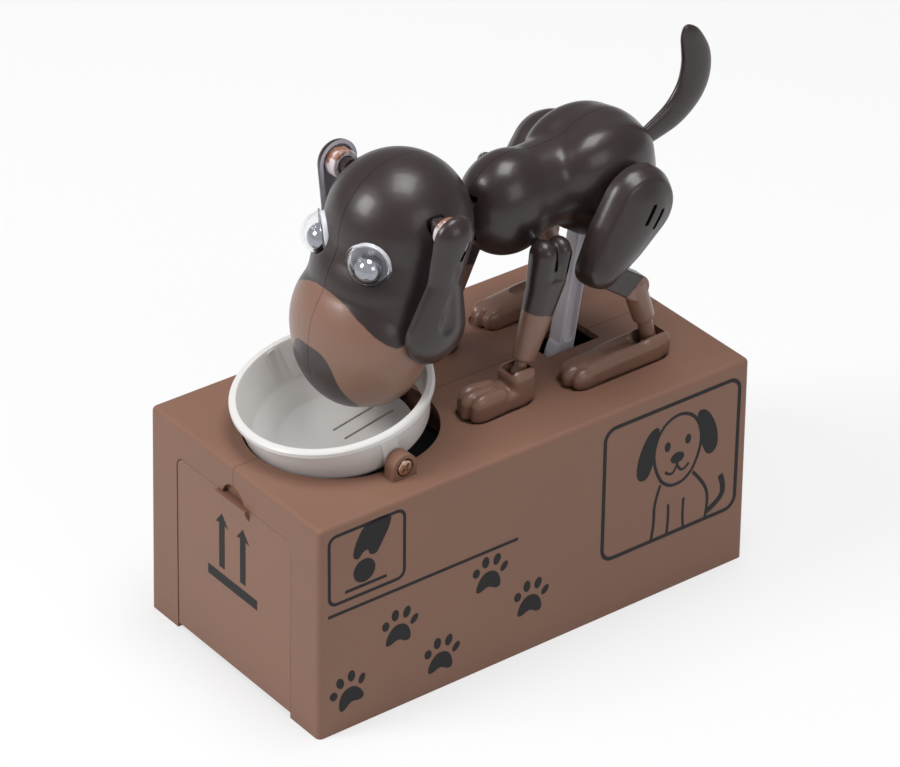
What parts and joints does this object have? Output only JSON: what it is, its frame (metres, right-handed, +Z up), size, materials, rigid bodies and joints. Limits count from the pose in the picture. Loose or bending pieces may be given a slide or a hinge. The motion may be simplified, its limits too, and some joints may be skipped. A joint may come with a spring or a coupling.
{
  "type": "mechanical coin bank",
  "caption": "Battery-driven coin bank: a moulded dog on a hollow box nods its muzzle into a tipping bowl that drops the coin into the box; front door opens.",
  "frame": {"origin": "centre of the box's underside", "axes": "+Z up, -Y the way the dog faces, +X the dog's left side"},
  "size_m": [0.0814, 0.1682, 0.157],
  "materials": {
    "brown_shell": "satin moulded plastic, fine grain",
    "dark_shell": "satin moulded plastic, sprayed dark brown",
    "white_plastic": "smooth white moulding",
    "bowl_plastic": "smooth off-white moulding",
    "gear_plastic": "natural acetal",
    "black_plastic": "matt black moulding",
    "steel": "plated steel",
    "motor_can": "drawn steel can",
    "cell_wrap": null,
    "clear_dome": "clear moulded dome",
    "eye_metal": "polished ball",
    "tail_plastic": "satin moulded plastic"
  },
  "bodies": {
    "base": {"housing_left": "brown_shell", "housing_right": "brown_shell", "housing_screws": "steel", "battery_tray": "black_plastic", "battery_door": "brown_shell", "battery_door_screw": "steel", "battery_cell_left": "cell_wrap", "battery_cell_right": "cell_wrap", "battery_contacts": "steel", "gearbox_frame_right": "black_plastic", "gearbox_frame_left": "black_plastic", "gear_axles": "steel", "rocker_shaft": "steel", "motor": "motor_can", "coin_chute": "black_plastic", "bowl_screws": "steel", "front_paw_left": "brown_shell", "front_paw_right": "brown_shell", "hind_paw_left": "brown_shell", "hind_paw_right": "brown_shell", "foot_pins": "steel"},
    "door": {"front_door": "brown_shell"},
    "bowl": {"bowl": "bowl_plastic", "tongue_contact": "steel"},
    "crank": {"crank_gear": "gear_plastic"},
    "gear_second": {"compound_gear_second": "gear_plastic"},
    "gear_first": {"compound_gear_first": "gear_plastic"},
    "motor_rotor": {"motor_pinion": "gear_plastic"},
    "rocker": {"drive_post": "white_plastic"},
    "trunk": {"body_left": "dark_shell", "body_right": "dark_shell", "body_screws": "steel", "body_pin": "steel", "shoulder_pin": "steel", "hip_pin": "steel", "neck_arm": "dark_shell", "tail_pin": "steel"},
    "head": {"head_left": "dark_shell", "head_right": "dark_shell", "neck_pin": "steel", "eye_cup_left": "white_plastic", "eye_cup_right": "white_plastic", "eye_dome_left": "clear_dome", "eye_dome_right": "clear_dome", "eye_ball_left": "eye_metal", "eye_ball_right": "eye_metal", "ear_pin_left": "white_plastic", "ear_pin_right": "white_plastic"},
    "ear_left": {"ear_left": "dark_shell"},
    "ear_right": {"ear_right": "dark_shell"},
    "tail": {"tail": "tail_plastic"},
    "front_leg_left": {"front_leg_left": "dark_shell"},
    "front_leg_right": {"front_leg_right": "dark_shell"},
    "shank_left": {"shank_left": "dark_shell"},
    "shank_right": {"shank_right": "dark_shell"},
    "thigh_left": {"thigh_left": "dark_shell"},
    "thigh_right": {"thigh_right": "dark_shell"}
  },
  "joints": [
    {"name": "door_hinge", "type": "hinge", "parent": "base", "child": "door", "pos_m": [0, -0.0745, 0.0043], "axis": [1, 0, 0], "range_deg": [0, 90]},
    {"name": "bowl_tip", "type": "hinge", "parent": "base", "child": "bowl", "pos_m": [0, -0.0412, 0.0714], "axis": [1, 0, 0], "range_deg": [-20, 0]},
    {"name": "crank_spin", "type": "hinge", "parent": "base", "child": "crank", "pos_m": [0.0063, 0.0357, 0.045], "axis": [1, 0, 0], "continuous": true},
    {"name": "gear_second_spin", "type": "hinge", "parent": "base", "child": "gear_second", "pos_m": [0.008, 0.0457, 0.045], "axis": [1, 0, 0], "continuous": true},
    {"name": "gear_first_spin", "type": "hinge", "parent": "base", "child": "gear_first", "pos_m": [0.01, 0.0457, 0.035], "axis": [1, 0, 0], "continuous": true},
    {"name": "motor_spin", "type": "hinge", "parent": "base", "child": "motor_rotor", "pos_m": [0.011, 0.0557, 0.035], "axis": [1, 0, 0], "continuous": true},
    {"name": "rocker_swing", "type": "hinge", "parent": "base", "child": "rocker", "pos_m": [0, 0.0325, 0.025], "axis": [-1, 0, 0], "range_deg": [-3.7, 3.7]},
    {"name": "trunk_pitch", "type": "hinge", "parent": "rocker", "child": "trunk", "pos_m": [0, 0.046, 0.112], "axis": [-1, 0, 0], "range_deg": [-5.71, 5.71]},
    {"name": "neck_nod", "type": "hinge", "parent": "trunk", "child": "head", "pos_m": [0, -0.006, 0.122], "axis": [-1, 0, 0], "range_deg": [-11.11, 11.11]},
    {"name": "tail_wag", "type": "hinge", "parent": "trunk", "child": "tail", "pos_m": [0, 0.0625, 0.1234], "axis": [-1, 0, 0], "range_deg": [-11.11, 11.11]},
    {"name": "ear_left_swing", "type": "hinge", "parent": "head", "child": "ear_left", "pos_m": [0.0248, -0.0214, 0.1344], "axis": [0.9969, 0, -0.0785], "range_deg": [-15, 30]},
    {"name": "ear_right_swing", "type": "hinge", "parent": "head", "child": "ear_right", "pos_m": [-0.0248, -0.0214, 0.1344], "axis": [0.9969, 0, 0.0785], "range_deg": [-15, 30]},
    {"name": "front_leg_left_swing", "type": "hinge", "parent": "base", "child": "front_leg_left", "pos_m": [0.0173, 0.0094, 0.076], "axis": [-1, 0, 0], "range_deg": [-9.22, 9.22]},
    {"name": "shank_left_swing", "type": "hinge", "parent": "base", "child": "shank_left", "pos_m": [0.0202, 0.0546, 0.072], "axis": [-1, 0, 0], "range_deg": [-6.22, 6.22]},
    {"name": "thigh_left_swing", "type": "hinge", "parent": "shank_left", "child": "thigh_left", "pos_m": [0.0223, 0.0334, 0.1028], "axis": [-1, 0, 0], "range_deg": [-3.94, 3.94]},
    {"name": "front_leg_right_swing", "type": "hinge", "parent": "base", "child": "front_leg_right", "pos_m": [-0.0173, 0.0094, 0.076], "axis": [-1, 0, 0], "range_deg": [-9.22, 9.22]},
    {"name": "shank_right_swing", "type": "hinge", "parent": "base", "child": "shank_right", "pos_m": [-0.0202, 0.0546, 0.072], "axis": [-1, 0, 0], "range_deg": [-6.22, 6.22]},
    {"name": "thigh_right_swing", "type": "hinge", "parent": "shank_right", "child": "thigh_right", "pos_m": [-0.0223, 0.0334, 0.1028], "axis": [-1, 0, 0], "range_deg": [-3.94, 3.94]}
  ],
  "couplings": [
    {"joint": "gear_second_spin", "follows": "crank_spin", "ratio": -3},
    {"joint": "gear_first_spin", "follows": "crank_spin", "ratio": 9},
    {"joint": "motor_spin", "follows": "crank_spin", "ratio": -27},
    {"joint": "trunk_pitch", "follows": "rocker_swing", "ratio": -1.54},
    {"joint": "neck_nod", "follows": "rocker_swing", "ratio": 3},
    {"joint": "tail_wag", "follows": "rocker_swing", "ratio": 3},
    {"joint": "front_leg_left_swing", "follows": "rocker_swing", "ratio": 2.49},
    {"joint": "shank_left_swing", "follows": "rocker_swing", "ratio": 1.678},
    {"joint": "thigh_left_swing", "follows": "rocker_swing", "ratio": 1.063},
    {"joint": "front_leg_right_swing", "follows": "rocker_swing", "ratio": 2.49},
    {"joint": "shank_right_swing", "follows": "rocker_swing", "ratio": 1.678},
    {"joint": "thigh_right_swing", "follows": "rocker_swing", "ratio": 1.063}
  ]
}
